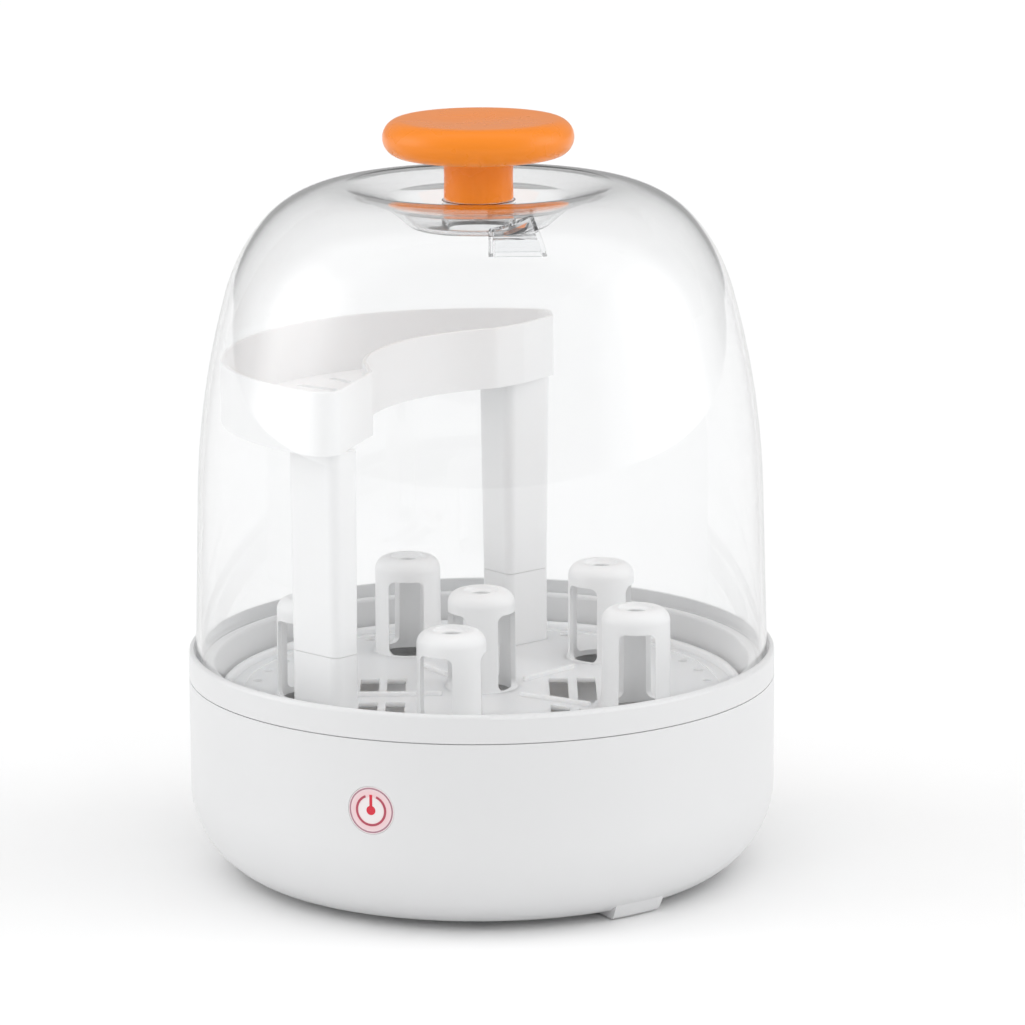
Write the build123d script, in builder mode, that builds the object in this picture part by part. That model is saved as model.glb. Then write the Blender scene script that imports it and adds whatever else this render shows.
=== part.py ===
from build123d import *
from math import asin, atan2, cos, degrees, radians, sin, sqrt, tan
import os

# Electric steam steriliser for six baby bottles. Millimetres, +Z up.
# The origin is on the vertical axis of the round body, on the table under its feet.
# Angles are measured in plan from +X towards +Y; the front of the body faces -Y.

# ---------------------------------------------------------------- driving dimensions

# Base bowl
body_radius = 140.0
wall = 2.5
bowl_bottom_height = 4.5
bowl_bend_height = 42.7
bowl_bend_radius = 44.0
seam_height = 94.4
seam_gap = 0.5
body_gap = 0.2

# Feet
foot_angles = (-53.4, 66.6, 172.0)
foot_arc = 13.0
foot_sole_height = 0.6
foot_pad_circle = 112.0
foot_pad_width = 10.0
foot_pad_thickness = 2.4

# Ring, well and the seat of the lid
lip_height = 108.2
lip_inner_radius = 137.4
lid_seat_height = 101.3
well_radius = 127.5
rack_shelf_height = 83.2
flange_height = 73.5
flange_thickness = 2.5
column_angles = (30, 150, 270)
column_pitch_radius = 110.0

# Heating plate and what hangs under it
plate_radius = 98.0
plate_height = 71.2
plate_sheet = 0.8
element_radius = 60.0
element_tube_radius = 4.0

# Bottle rack
rack_radius = 124.7
rack_top = 87.0
rack_thickness = 2.5
rack_rim_top = 89.7
drain_slot_centres = (-53.8, -41.0, 36.8, 50.2)
drain_slot_width = 9.0
drain_field_back = 14.0
drain_field_front = -60.0
drain_hole_count = 34
drain_hole_radius = 2.4
drain_hole_circle = 109.0

# Bottle posts
post_circle = 82.0
post_first_angle = 44.2
post_radius = 16.3
post_wall = 2.2
post_top = 134.2
post_window_top = 124.2
post_window_arc = 64.0
outer_post_turns = (109.0, 147.0, 109.0, -1.0, 30.0)
centre_post_turn = -29.0
post_hole_radius = 4.9
post_fit = 0.1

# Tray legs and the sockets they stand in
left_leg_place = (-72.1, -75.9)
left_leg_turn = 136.0
left_leg_size = (30.5, 16.5)
left_leg_draft = 0.3
right_leg_place = (17.0, 94.0)
right_leg_turn = 40.0
right_leg_size = (27.0, 22.5)
right_leg_draft = 0.75
leg_corner = 4.5
leg_wall = 2.0
leg_joint_height = 123.2
spigot_length = 10.0
slide_fit = 0.3

# Accessory tray
tray_outer_radius = 122.4
tray_floor_height = 219.6
tray_rim_height = 249.4
tray_wall = 2.0
tray_corner = 9.0

# Lid
lid_foot_height = lid_seat_height + body_gap
lid_foot_radius = 136.7
lid_wall_lean = 1.58
lid_wall_top = lip_height + 76.15
lid_arcs = ((387.75, 15.88), (87.28, 39.13), (51.12, 90.0))
crest_roll_radius = 18.0
dish_slope = 17.0
dish_slope_length = 15.5
dish_shoulder_radius = 12.0
dish_wall_slope = 45.0
dish_wall_length = 9.5
dish_fillet_radius = 8.0
boss_radius = 17.4
boss_top = lip_height + 214.6
hood_left = 4.4
hood_right = 31.6
hood_lean = 18.0
hood_middle = -26.8
hood_depth = 18.0
hood_wall = 2.0
hood_bottom = lip_height + 193.0
hood_height = 26.0

# Knob
knob_radius = 45.1
knob_edge_radius = 8.7
knob_edge_height = lip_height + 243.9
knob_stem_radius = 16.4
knob_dip = 1.6

# Power button, control board and mains inlet
button_angle = 248.6
button_height = 61.4
button_radius = 11.2
button_clearance = 0.15
board_distance = 123.0
board_thickness = 1.6
inlet_height = 50.0
inlet_width = 30.0
inlet_depth = 20.0

supply_lead_radius = 2.4
heater_lead_radius = 1.5

os.makedirs("parts", exist_ok=True)


def on_circle(radius, angle):
    """The plan point at this radius and angle."""
    return (radius * cos(radians(angle)), radius * sin(radians(angle)))


def radial_plane(angle):
    """A vertical plane through the axis: its x runs outwards, its y up."""
    a = radians(angle)
    return Plane(origin=(0, 0, 0), x_dir=(cos(a), sin(a), 0), z_dir=(sin(a), -cos(a), 0))


def wall_plane(angle, distance, height):
    """A vertical plane that faces outwards at this distance from the axis: x is sideways, y up."""
    a = radians(angle)
    origin = (distance * cos(a), distance * sin(a), height)
    return Plane(origin=origin, x_dir=(-sin(a), cos(a), 0), z_dir=(cos(a), sin(a), 0))


def bend_radius_at(height, radius):
    """How far the bowl's bend, of this radius, is from the axis at a height."""
    centre = body_radius - bowl_bend_radius
    return centre + sqrt(radius**2 - (bowl_bend_height - height) ** 2)


def save(name, shape):
    """Labels a finished piece and writes it as its own STEP file."""
    shape.label = name
    export_step(shape, f"parts/{name}.step")


# ---------------------------------------------------------------- base: bowl and feet

bowl_floor_top = bowl_bottom_height + wall
bend_centre = (body_radius - bowl_bend_radius, bowl_bend_height)
outer_flat = bend_radius_at(bowl_bottom_height, bowl_bend_radius)
inner_flat = bend_radius_at(bowl_floor_top, bowl_bend_radius - wall)
outer_turn = degrees(asin((bowl_bend_height - bowl_bottom_height) / bowl_bend_radius))
inner_turn = degrees(asin((bowl_bend_height - bowl_floor_top) / (bowl_bend_radius - wall)))
collar_radius = 13.2
collar_wall = 2.0
collar_distance = 127.0
board_front = board_distance + board_thickness
board_post_spread = 23.0
board_post_radius = 3.5
foot_start = foot_arc / 2
pad_arc = foot_arc - 3.0
screw_boss_height = 12.0
screw_head_recess = 4.6

with BuildPart() as base_housing:
    with BuildSketch(Plane.XZ):
        with BuildLine():
            Line((0, bowl_bottom_height), (outer_flat, bowl_bottom_height))
            CenterArc(bend_centre, bowl_bend_radius, -outer_turn, outer_turn)
            Polyline(
                (body_radius, bowl_bend_height),
                (body_radius, seam_height),
                (body_radius - wall, seam_height),
                (body_radius - wall, bowl_bend_height),
            )
            CenterArc(bend_centre, bowl_bend_radius - wall, 0, -inner_turn)
            Polyline((inner_flat, bowl_floor_top), (0, bowl_floor_top), (0, bowl_bottom_height))
        make_face()
    revolve(axis=Axis.Z)

    # Three moulded feet, which grow out of the bend at the bowl's edge.
    for angle in foot_angles:
        with BuildSketch(radial_plane(angle - foot_start)):
            with BuildLine():
                Polyline(
                    (104.0, bowl_bottom_height + 1),
                    (105.0, foot_sole_height),
                    (119.0, foot_sole_height),
                    (120.2, foot_sole_height + 1),
                    (124.0, 9.9),
                    (122.5, 10.0),
                    (118.0, bowl_bottom_height + 1.6),
                    (104.0, bowl_bottom_height + 1),
                )
            make_face()
        revolve(axis=Axis.Z, revolution_arc=foot_arc)
    for angle in foot_angles:
        with BuildSketch(radial_plane(angle - pad_arc / 2)):
            with Locations((foot_pad_circle, foot_pad_thickness / 2)):
                Rectangle(foot_pad_width + 0.2, foot_pad_thickness)
        revolve(axis=Axis.Z, revolution_arc=pad_arc, mode=Mode.SUBTRACT)

    # Bosses for the screws that hold the ring, with deep recesses for their heads.
    with BuildSketch(Plane.XY.offset(bowl_floor_top - 1)):
        with PolarLocations(column_pitch_radius, 3, start_angle=column_angles[0]):
            Circle(6.0)
    extrude(amount=screw_boss_height - bowl_floor_top + 1)
    with BuildSketch(Plane.XY):
        with PolarLocations(column_pitch_radius, 3, start_angle=column_angles[0]):
            Circle(1.7)
    extrude(amount=screw_boss_height + 1, mode=Mode.SUBTRACT)
    with BuildSketch(Plane.XY):
        with PolarLocations(column_pitch_radius, 3, start_angle=column_angles[0]):
            Circle(4.0)
    extrude(amount=bowl_bottom_height + screw_head_recess, mode=Mode.SUBTRACT)

    # Cooling slots in the floor.
    for ring_radius, slot_count in ((34.0, 6), (56.0, 10)):
        with BuildSketch(Plane.XY):
            with PolarLocations(ring_radius, slot_count):
                SlotOverall(16.0, 3.0, rotation=90)
        extrude(amount=bowl_floor_top + 1, mode=Mode.SUBTRACT)

    # Collar that guides the power button, and the hole it shows through.
    with BuildSketch(wall_plane(button_angle, collar_distance, button_height)):
        Circle(collar_radius + collar_wall)
    extrude(amount=body_radius - wall / 2 - collar_distance - 1.2)
    with BuildSketch(wall_plane(button_angle, collar_distance - 1, button_height)):
        Circle(collar_radius)
    extrude(amount=136.3 - collar_distance + 1, mode=Mode.SUBTRACT)
    with BuildSketch(wall_plane(button_angle, collar_distance, button_height)):
        Circle(button_radius + button_clearance)
    extrude(amount=20.0, mode=Mode.SUBTRACT)

    # Posts on the wall that carry the control board.
    with BuildSketch(wall_plane(button_angle, board_front, button_height)):
        with Locations((-board_post_spread, -12.0), (board_post_spread, -12.0)):
            Circle(board_post_radius)
    extrude(amount=12.0)
    with BuildSketch(wall_plane(button_angle, board_front, button_height)):
        with Locations((-board_post_spread, -12.0), (board_post_spread, -12.0)):
            Circle(1.3)
    extrude(amount=8.0, mode=Mode.SUBTRACT)

    # Window for the mains inlet at the back.
    with BuildSketch(wall_plane(90, body_radius - 8, inlet_height)):
        Rectangle(inlet_width + 0.2, inlet_depth + 0.2)
    extrude(amount=12.0, mode=Mode.SUBTRACT)
save("base_housing", base_housing.part)

with BuildPart() as foot_pads:
    for angle in foot_angles:
        with BuildSketch(radial_plane(angle - pad_arc / 2 + 0.1)):
            with Locations((foot_pad_circle, foot_pad_thickness / 2)):
                Rectangle(foot_pad_width, foot_pad_thickness)
        revolve(axis=Axis.Z, revolution_arc=pad_arc - 0.2)
save("foot_pads", foot_pads.part)

# ---------------------------------------------------------------- base: ring with the well

tongue_outer = body_radius - wall - 0.3
seam_depth = 0.8
flange_top = flange_height + flange_thickness
well_wall = 2.5
rib_inner = 100.0
rib_outer = 105.0
clamp_top = plate_height
column_radius = 4.5
lower_well_radius = 117.0

with BuildPart() as top_ring:
    with BuildSketch(Plane.XZ):
        with BuildLine():
            Line((body_radius, seam_height + seam_gap), (body_radius, lip_height - 2))
            RadiusArc((body_radius, lip_height - 2), (body_radius - 2, lip_height), -2)
            Line((body_radius - 2, lip_height), (lip_inner_radius + 0.5, lip_height))
            RadiusArc((lip_inner_radius + 0.5, lip_height), (lip_inner_radius, lip_height - 0.5), -0.5)
            Polyline(
                (lip_inner_radius, lip_height - 0.5),
                (lip_inner_radius, lid_seat_height),
                (well_radius + 4.6, lid_seat_height),
                (well_radius + 4.3, lid_seat_height + 1.0),
                (well_radius + 3.6, lid_seat_height + 1.5),
                (well_radius + 1.2, lid_seat_height + 1.5),
                (well_radius + 0.4, lid_seat_height + 1.1),
                (well_radius, lid_seat_height),
                (well_radius, rack_shelf_height),
                (lower_well_radius, rack_shelf_height),
                (lower_well_radius, flange_top),
                (94.0, flange_top),
                (93.5, flange_top - 0.5),
                (93.5, flange_height),
                (rib_inner, flange_height),
                (rib_inner, clamp_top),
                (rib_outer, clamp_top),
                (rib_outer, flange_height),
                (lower_well_radius + well_wall, flange_height),
                (lower_well_radius + well_wall, rack_shelf_height - well_wall),
                (well_radius + well_wall, rack_shelf_height - well_wall),
                (well_radius + well_wall, lid_seat_height - well_wall),
                (135.0, lid_seat_height - well_wall),
                (135.0, seam_height - 4.4),
                (tongue_outer, seam_height - 4.4),
                (tongue_outer, seam_height + 0.1),
                (body_radius - seam_depth, seam_height + 0.1),
                (body_radius - seam_depth, seam_height + seam_gap),
                (body_radius, seam_height + seam_gap),
            )
        make_face()
    revolve(axis=Axis.Z)
    # Columns that reach down to the bowl's screws.
    with BuildSketch(Plane.XY.offset(screw_boss_height + body_gap)):
        with PolarLocations(column_pitch_radius, 3, start_angle=column_angles[0]):
            Circle(column_radius)
    extrude(amount=flange_height - screw_boss_height + 0.5)
    with BuildSketch(Plane.XY.offset(screw_boss_height)):
        with PolarLocations(column_pitch_radius, 3, start_angle=column_angles[0]):
            Circle(1.5)
    extrude(amount=14.0, mode=Mode.SUBTRACT)
    # Pilot holes for the screws of the clamp ring.
    with BuildSketch(Plane.XY.offset(clamp_top - 1)):
        with PolarLocations(102.5, 6):
            Circle(1.5)
    extrude(amount=4.5, mode=Mode.SUBTRACT)
save("top_ring", top_ring.part)


def pan_head_screw(x, y, head_top, shank_radius, shank_length, head_radius, head_height):
    """A screw that points up: its head hangs under head_top, its shank stands above."""
    with BuildPart() as screw:
        with BuildSketch(Plane.XY.offset(head_top - head_height)):
            with Locations((x, y)):
                Circle(head_radius)
        extrude(amount=head_height)
        chamfer(screw.edges().group_by(Axis.Z)[0], 0.5)
        with BuildSketch(Plane.XY.offset(head_top)):
            with Locations((x, y)):
                Circle(shank_radius)
        extrude(amount=shank_length)
        with BuildSketch(Plane.XY.offset(head_top - head_height)):
            with Locations((x, y)):
                Rectangle(head_radius * 1.1, 0.8)
                Rectangle(0.8, head_radius * 1.1)
        extrude(amount=head_height * 0.5, mode=Mode.SUBTRACT)
    return screw.part


screw_seat = bowl_bottom_height + screw_head_recess
housing_screws = [
    pan_head_screw(*on_circle(column_pitch_radius, a), screw_seat, 1.4, 13.0, 3.4, 2.2)
    for a in column_angles
]
save("housing_screws", Compound(children=housing_screws))

# ---------------------------------------------------------------- base: heating plate

seal_thickness = 1.4
clamp_thickness = 2.0

with BuildPart() as heating_plate:
    with BuildSketch(Plane.XY.offset(plate_height)):
        Circle(plate_radius)
    extrude(amount=plate_sheet)
    # A shallow ring pressed into the middle, over the thermostat.
    with BuildSketch(Plane.XY.offset(plate_height + plate_sheet)):
        Circle(14.0)
        Circle(12.6, mode=Mode.SUBTRACT)
    extrude(amount=0.4)
save("heating_plate", heating_plate.part)

with BuildPart() as plate_seal:
    seal_foot = plate_height + plate_sheet
    with BuildSketch(Plane.XZ):
        with Locations((95.6, seal_foot + seal_thickness / 2)):
            Rectangle(5.2, seal_thickness)
    revolve(axis=Axis.Z)
save("plate_seal", plate_seal.part)

with BuildPart() as plate_clamp_ring:
    with BuildSketch(Plane.XY.offset(plate_height - clamp_thickness)):
        Circle(rib_outer)
        Circle(92.0, mode=Mode.SUBTRACT)
        with PolarLocations(102.5, 6):
            Circle(1.7, mode=Mode.SUBTRACT)
    extrude(amount=clamp_thickness)
save("plate_clamp_ring", plate_clamp_ring.part)

clamp_screws = [
    pan_head_screw(*on_circle(102.5, 60 * i), plate_height - clamp_thickness, 1.4, 5.2, 2.7, 1.8)
    for i in range(6)
]
save("clamp_screws", Compound(children=clamp_screws))

spreader_thickness = 3.0
spreader_foot = plate_height - spreader_thickness
with BuildPart() as heat_spreader:
    with BuildSketch(Plane.XY.offset(spreader_foot)):
        Circle(76.0)
        Circle(13.0, mode=Mode.SUBTRACT)
    extrude(amount=spreader_thickness)
save("heat_spreader", heat_spreader.part)

element_level = spreader_foot - element_tube_radius
element_gap = 50.0
element_start = button_angle + element_gap / 2
with BuildPart() as heater_element:
    with BuildSketch(radial_plane(element_start)):
        with Locations((element_radius, element_level)):
            Circle(element_tube_radius)
    revolve(axis=Axis.Z, revolution_arc=360 - element_gap)
save("heater_element", heater_element.part)


def cold_pin(angle, side):
    """The terminal at one end of the element: a ceramic collar and a pin, straight out of the tube."""
    plane = radial_plane(angle)
    along = plane.z_dir * side
    x, y = on_circle(element_radius, angle)
    end = Plane(origin=(x, y, element_level), z_dir=along)
    with BuildPart() as pin:
        with BuildSketch(end):
            Circle(3.0)
        extrude(amount=4.0)
        with BuildSketch(end.offset(4.0)):
            Circle(1.2)
        extrude(amount=7.0)
    return pin.part


# radial_plane's normal points backwards, against the element's turn.
heater_terminals = [cold_pin(element_start, 1), cold_pin(element_start - element_gap, -1)]
save("heater_terminals", Compound(children=heater_terminals))

thermostat_height = 7.0
with BuildPart() as thermostat:
    with BuildSketch(Plane.XY.offset(plate_height - 1.2)):
        Circle(11.0)
    extrude(amount=1.2)
    with BuildSketch(Plane.XY.offset(plate_height - 1.2 - thermostat_height)):
        Circle(8.0)
    extrude(amount=thermostat_height)
    with BuildSketch(Plane.XY.offset(plate_height - 1.2 - thermostat_height - 6.0)):
        with Locations((-4.5, 0), (4.5, 0)):
            Rectangle(0.8, 4.8)
    extrude(amount=6.0)
save("thermostat", thermostat.part)

with BuildPart() as thermal_fuse:
    with BuildSketch(Plane.XY.offset(spreader_foot - 2.2)):
        with Locations((0, 32.0)):
            SlotOverall(14.0, 4.4)
    extrude(amount=2.2)
save("thermal_fuse", thermal_fuse.part)

with BuildPart() as fuse_clip:
    with BuildSketch(Plane.YZ.offset(-3.0)):
        with BuildLine():
            Polyline(
                (22.0, spreader_foot),
                (28.0, spreader_foot),
                (28.0, spreader_foot - 2.6),
                (36.0, spreader_foot - 2.6),
                (36.0, spreader_foot),
                (42.0, spreader_foot),
                (42.0, spreader_foot - 0.8),
                (36.8, spreader_foot - 0.8),
                (36.8, spreader_foot - 3.4),
                (27.2, spreader_foot - 3.4),
                (27.2, spreader_foot - 0.8),
                (22.0, spreader_foot - 0.8),
                (22.0, spreader_foot),
            )
        make_face()
    extrude(amount=6.0)
save("fuse_clip", fuse_clip.part)

# ---------------------------------------------------------------- base: control board

board_width = 60.0
board_low = -24.0
board_high = 14.0
with BuildPart() as control_board:
    with BuildSketch(wall_plane(button_angle, board_distance, button_height)):
        with Locations((0, (board_low + board_high) / 2)):
            RectangleRounded(board_width, board_high - board_low, 2.0)
        with Locations((-board_post_spread, -12.0), (board_post_spread, -12.0)):
            Circle(1.6, mode=Mode.SUBTRACT)
    extrude(amount=board_thickness)
save("control_board", control_board.part)

with BuildPart() as board_relay:
    with BuildSketch(wall_plane(button_angle, board_distance - 15.0, button_height)):
        with Locations((-10.0, -8.0)):
            Rectangle(19.0, 15.5)
    extrude(amount=15.0)
    fillet(board_relay.edges().filter_by(Axis.Z), 0.6)
save("board_relay", board_relay.part)

with BuildPart() as board_capacitor:
    with BuildSketch(wall_plane(button_angle, board_distance - 12.0, button_height)):
        with Locations((13.0, -10.0)):
            Circle(5.0)
    extrude(amount=12.0)
save("board_capacitor", board_capacitor.part)

with BuildPart() as board_connector:
    with BuildSketch(wall_plane(button_angle, board_distance - 9.0, button_height)):
        with Locations((2.0, 7.0)):
            Rectangle(22.0, 8.0)
    extrude(amount=9.0)
save("board_connector", board_connector.part)

with BuildPart() as push_switch:
    with BuildSketch(wall_plane(button_angle, board_front, button_height)):
        RectangleRounded(6.0, 6.0, 0.5)
    extrude(amount=3.2)
    with BuildSketch(wall_plane(button_angle, board_front + 3.2, button_height)):
        Circle(1.75)
    extrude(amount=0.8)
save("push_switch", push_switch.part)

with BuildPart() as indicator_led:
    with BuildSketch(wall_plane(button_angle, board_front, button_height)):
        with Locations((0, -7.0)):
            Circle(1.9)
    extrude(amount=0.8)
    with BuildSketch(wall_plane(button_angle, board_front + 0.8, button_height)):
        with Locations((0, -7.0)):
            Circle(1.5)
    extrude(amount=2.6)
    fillet(indicator_led.faces().sort_by(SortBy.DISTANCE)[-1].edges(), 1.2)
save("indicator_led", indicator_led.part)


def board_screw(sideways):
    """A small screw through the board into its post; the head is on the inner side."""
    with BuildPart() as screw:
        with BuildSketch(wall_plane(button_angle, board_distance - 1.6, button_height)):
            with Locations((sideways, -12.0)):
                Circle(2.4)
        extrude(amount=1.6)
        with BuildSketch(wall_plane(button_angle, board_distance, button_height)):
            with Locations((sideways, -12.0)):
                Circle(1.2)
        extrude(amount=7.5)
    return screw.part


board_screws = [board_screw(side * board_post_spread) for side in (-1, 1)]
save("board_screws", Compound(children=board_screws))

# ---------------------------------------------------------------- base: mains inlet and leads

inlet_face = body_radius - 1.4
inlet_body_depth = 20.0
inlet_back = inlet_face - inlet_body_depth
socket_depth = 15.0
with BuildPart() as power_inlet:
    with BuildSketch(wall_plane(90, inlet_back, inlet_height)):
        RectangleRounded(inlet_width, inlet_depth, 0.6)
    extrude(amount=inlet_body_depth)
    with BuildSketch(wall_plane(90, inlet_back, inlet_height)):
        Rectangle(inlet_width + 5, inlet_depth + 5)
    extrude(amount=14.4)
    with BuildSketch(wall_plane(90, inlet_face - socket_depth, inlet_height)):
        with Locations((-4.2, 0), (4.2, 0)):
            Circle(4.6)
        Rectangle(8.4, 6.4)
    extrude(amount=socket_depth + 1, mode=Mode.SUBTRACT)
    with BuildSketch(wall_plane(90, inlet_back - 1, inlet_height)):
        with Locations((-4.3, 0), (4.3, 0)):
            Circle(1.2)
    extrude(amount=8.0, mode=Mode.SUBTRACT)
save("power_inlet", power_inlet.part)


def inlet_pin(sideways):
    """A round contact that stands in the inlet's socket, with a solder tail behind."""
    with BuildPart() as pin:
        with BuildSketch(wall_plane(90, inlet_back - 5.0, inlet_height)):
            with Locations((sideways, 0)):
                Circle(1.15)
        extrude(amount=5.0 + inlet_body_depth - 5.0)
    return pin.part


save("inlet_pins", Compound(children=[inlet_pin(side * 4.3) for side in (-1, 1)]))


def lead(points, radius, bend):
    """A wire in straight runs joined by tangent arcs."""
    with BuildPart() as wire:
        with BuildLine() as route:
            FilletPolyline(*points, radius=bend)
        towards = Vector(*points[1]) - Vector(*points[0])
        with BuildSketch(Plane(origin=points[0], z_dir=towards)):
            Circle(radius)
        sweep(path=route.line)
    return wire.part


def board_point(distance, sideways, up):
    """A point in front of the control board, at this distance from the body's axis."""
    return tuple(wall_plane(button_angle, distance, button_height).from_local_coords((sideways, up, 0)))


# The supply lead runs round the inside of the bowl, outside the columns, to the relay.
supply_route = [(4.3, inlet_back - 5.0, inlet_height), (4.3, inlet_back - 15.0, inlet_height)]
supply_route += [(*on_circle(109.0, 106.0), 34.0)]
supply_route += [(*on_circle(120.0, a), 34.0) for a in (128.0, 152.0, 177.0, 202.0)]
supply_route += [(*on_circle(119.0, 222.0), 46.0)]
supply_route += [board_point(115.5, -32.0, -8.0), board_point(115.5, -19.7, -8.0)]
save("supply_lead", lead(supply_route, supply_lead_radius, 8.0))

heater_leads = []
for angle, side, plug in ((element_start, 1, 6.0), (element_start - element_gap, -1, -4.0)):
    inwards = radial_plane(angle).z_dir * side
    ring_point = Vector(*on_circle(element_radius, angle), element_level)
    pin_end = ring_point + inwards * 11.0
    first_bend = ring_point + inwards * 18.0
    heater_route = [tuple(pin_end), tuple(first_bend), board_point(90.0, plug * 1.5, -8.0)]
    heater_route += [board_point(107.0, plug, 5.0), board_point(114.0, plug, 5.0)]
    heater_leads.append(lead(heater_route, heater_lead_radius, 3.0))
save("heater_leads", Compound(children=heater_leads))

# ---------------------------------------------------------------- power button

button_face = body_radius - 0.1
button_flange_radius = 12.7
button_back = 133.6
with BuildPart() as power_button:
    with BuildSketch(wall_plane(button_angle, button_back, button_height)):
        Circle(button_radius)
    extrude(amount=10.0)
    with BuildSketch(Plane.XY.offset(button_height - 20)):
        Circle(button_face)
    extrude(amount=40.0, mode=Mode.INTERSECT)
    with BuildSketch(wall_plane(button_angle, button_back, button_height)):
        Circle(button_flange_radius)
    extrude(amount=1.6)
    with BuildSketch(wall_plane(button_angle, 130.4, button_height)):
        Circle(3.0)
    extrude(amount=button_back - 130.4)
save("power_button", power_button.part)

# ---------------------------------------------------------------- bottle rack

rack_bottom = rack_top - rack_thickness
rack_rim_inner = rack_radius - 3.0
outer_post_angles = [post_first_angle + 72.0 * i for i in range(5)]
post_seats = [(0.0, 0.0)] + [on_circle(post_circle, a) for a in outer_post_angles]
post_seat_radius = post_radius + 1.3
rack_ribs = (
    ((-19.0, -18.0), (-59.0, -19.0)),
    ((18.0, -20.0), (51.0, -41.0)),
    ((20.0, 8.0), (45.0, 34.0)),
    ((-17.0, 19.0), (-29.0, 40.0)),
)
leg_seats = (
    (left_leg_place, left_leg_turn, left_leg_size),
    (right_leg_place, right_leg_turn, right_leg_size),
)


def clear_of_legs(point):
    """Whether a drain hole at this plan point stays clear of both legs."""
    return all((Vector(*point) - Vector(*place)).length > 20.0 for place, turn, size in leg_seats)


drain_angles = [4.0 + 360.0 / drain_hole_count * i for i in range(drain_hole_count)]
drain_points = [on_circle(drain_hole_circle, angle) for angle in drain_angles]
drain_points = [point for point in drain_points if clear_of_legs(point)]

with BuildPart() as rack_plate:
    with BuildSketch(Plane.XZ):
        with BuildLine():
            Polyline(
                (0, rack_bottom),
                (rack_rim_inner, rack_bottom),
                (rack_rim_inner, rack_shelf_height + body_gap),
                (rack_radius, rack_shelf_height + body_gap),
                (rack_radius, rack_rim_top - 0.8),
                (rack_radius - 0.8, rack_rim_top),
                (rack_rim_inner + 0.6, rack_rim_top),
                (rack_rim_inner - 0.4, rack_rim_top - 0.8),
                (rack_rim_inner - 1.6, rack_top),
                (0, rack_top),
                (0, rack_bottom),
            )
        make_face()
    revolve(axis=Axis.Z)

    # Drain slots beside the middle post, split by a solid band that carries the front posts.
    field_middle = (drain_field_back + drain_field_front) / 2
    with BuildSketch(Plane.XY.offset(rack_bottom - 1)):
        with Locations([(x, field_middle) for x in drain_slot_centres]):
            Rectangle(drain_slot_width, drain_field_back - drain_field_front)
        with Locations((-40.0, -24.0)):
            Rectangle(60.0, 14.0, mode=Mode.SUBTRACT)
        with Locations(Location((38.0, -34.0, 0), (0, 0, -30.0))):
            Rectangle(70.0, 12.0, mode=Mode.SUBTRACT)
        with Locations(post_seats):
            Circle(post_seat_radius + 2.5, mode=Mode.SUBTRACT)
        for place, turn, (length, width) in leg_seats:
            with Locations(Location((*place, 0), (0, 0, turn))):
                Rectangle(length + 8, width + 8, mode=Mode.SUBTRACT)
    extrude(amount=rack_thickness + 2, mode=Mode.SUBTRACT)

    # Round drain holes in the outer annulus.
    with BuildSketch(Plane.XY.offset(rack_bottom - 1)):
        with Locations(drain_points):
            Circle(drain_hole_radius)
    extrude(amount=rack_thickness + 2, mode=Mode.SUBTRACT)

    # Seats for the posts and for the two leg sockets.
    with BuildSketch(Plane.XY.offset(rack_bottom - 1)):
        with Locations(post_seats):
            Circle(post_seat_radius)
    extrude(amount=rack_thickness + 2, mode=Mode.SUBTRACT)
    for place, turn, (length, width) in leg_seats:
        with BuildSketch(Plane.XY.offset(rack_bottom - 1)):
            with Locations(Location((*place, 0), (0, 0, turn))):
                RectangleRounded(length, width, leg_corner)
        extrude(amount=rack_thickness + 2, mode=Mode.SUBTRACT)

    # Low ribs on top, from the middle post towards the outer posts.
    with BuildSketch(Plane.XY.offset(rack_top)):
        for start, end in rack_ribs:
            run = Vector(*end) - Vector(*start)
            middle = (Vector(*start) + Vector(*end)) / 2
            turn = degrees(atan2(run.Y, run.X))
            with Locations(Location(middle, (0, 0, turn))):
                SlotOverall(run.length, 2.2)
    extrude(amount=2.0)

    # A low ring round the drain holes.
    with BuildSketch(Plane.XY.offset(rack_top)):
        Circle(115.2)
        Circle(114.0, mode=Mode.SUBTRACT)
    extrude(amount=0.6)
save("rack_plate", rack_plate.part)


def bottle_post(x, y, turn):
    """A hollow post with a domed cap, three arched windows, and a ring that clips into the rack."""
    outer = post_radius
    inner = post_radius - post_wall
    with BuildPart() as post:
        with BuildSketch(Plane.XZ):
            with BuildLine():
                Polyline(
                    (inner, rack_bottom),
                    (post_seat_radius - post_fit, rack_bottom),
                    (post_seat_radius - post_fit, rack_top),
                    (outer, rack_top),
                    (outer - 0.2, post_top - 6.0),
                )
                RadiusArc((outer - 0.2, post_top - 6.0), (outer - 5.6, post_top), -6.4)
                Polyline(
                    (outer - 5.6, post_top),
                    (8.4, post_top),
                    (7.6, post_top - 1.4),
                    (5.4, post_top - 1.8),
                    (post_hole_radius, post_top - 2.1),
                    (post_hole_radius, post_top - 2.8),
                    (9.0, post_top - 4.4),
                    (inner - 1.2, post_top - 7.5),
                    (inner - 0.2, post_top - 9.2),
                    (inner, rack_bottom),
                )
            make_face()
        revolve(axis=Axis.Z)
        window_width = 2 * outer * sin(radians(post_window_arc / 2))
        window_height = post_window_top - rack_top
        for k in range(3):
            with BuildSketch(wall_plane(turn + 120 * k, 8.0, rack_top + window_height / 2)):
                Rectangle(window_width, window_height)
                fillet(vertices().group_by(Axis.Z)[-1], 3.4)
            extrude(amount=outer, mode=Mode.SUBTRACT)
    return post.part.moved(Location((x, y, 0)))


post_turns = (centre_post_turn, *outer_post_turns)
for number, ((x, y), turn) in enumerate(zip(post_seats, post_turns)):
    save(f"bottle_post_{number}", bottle_post(x, y, turn))


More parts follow.
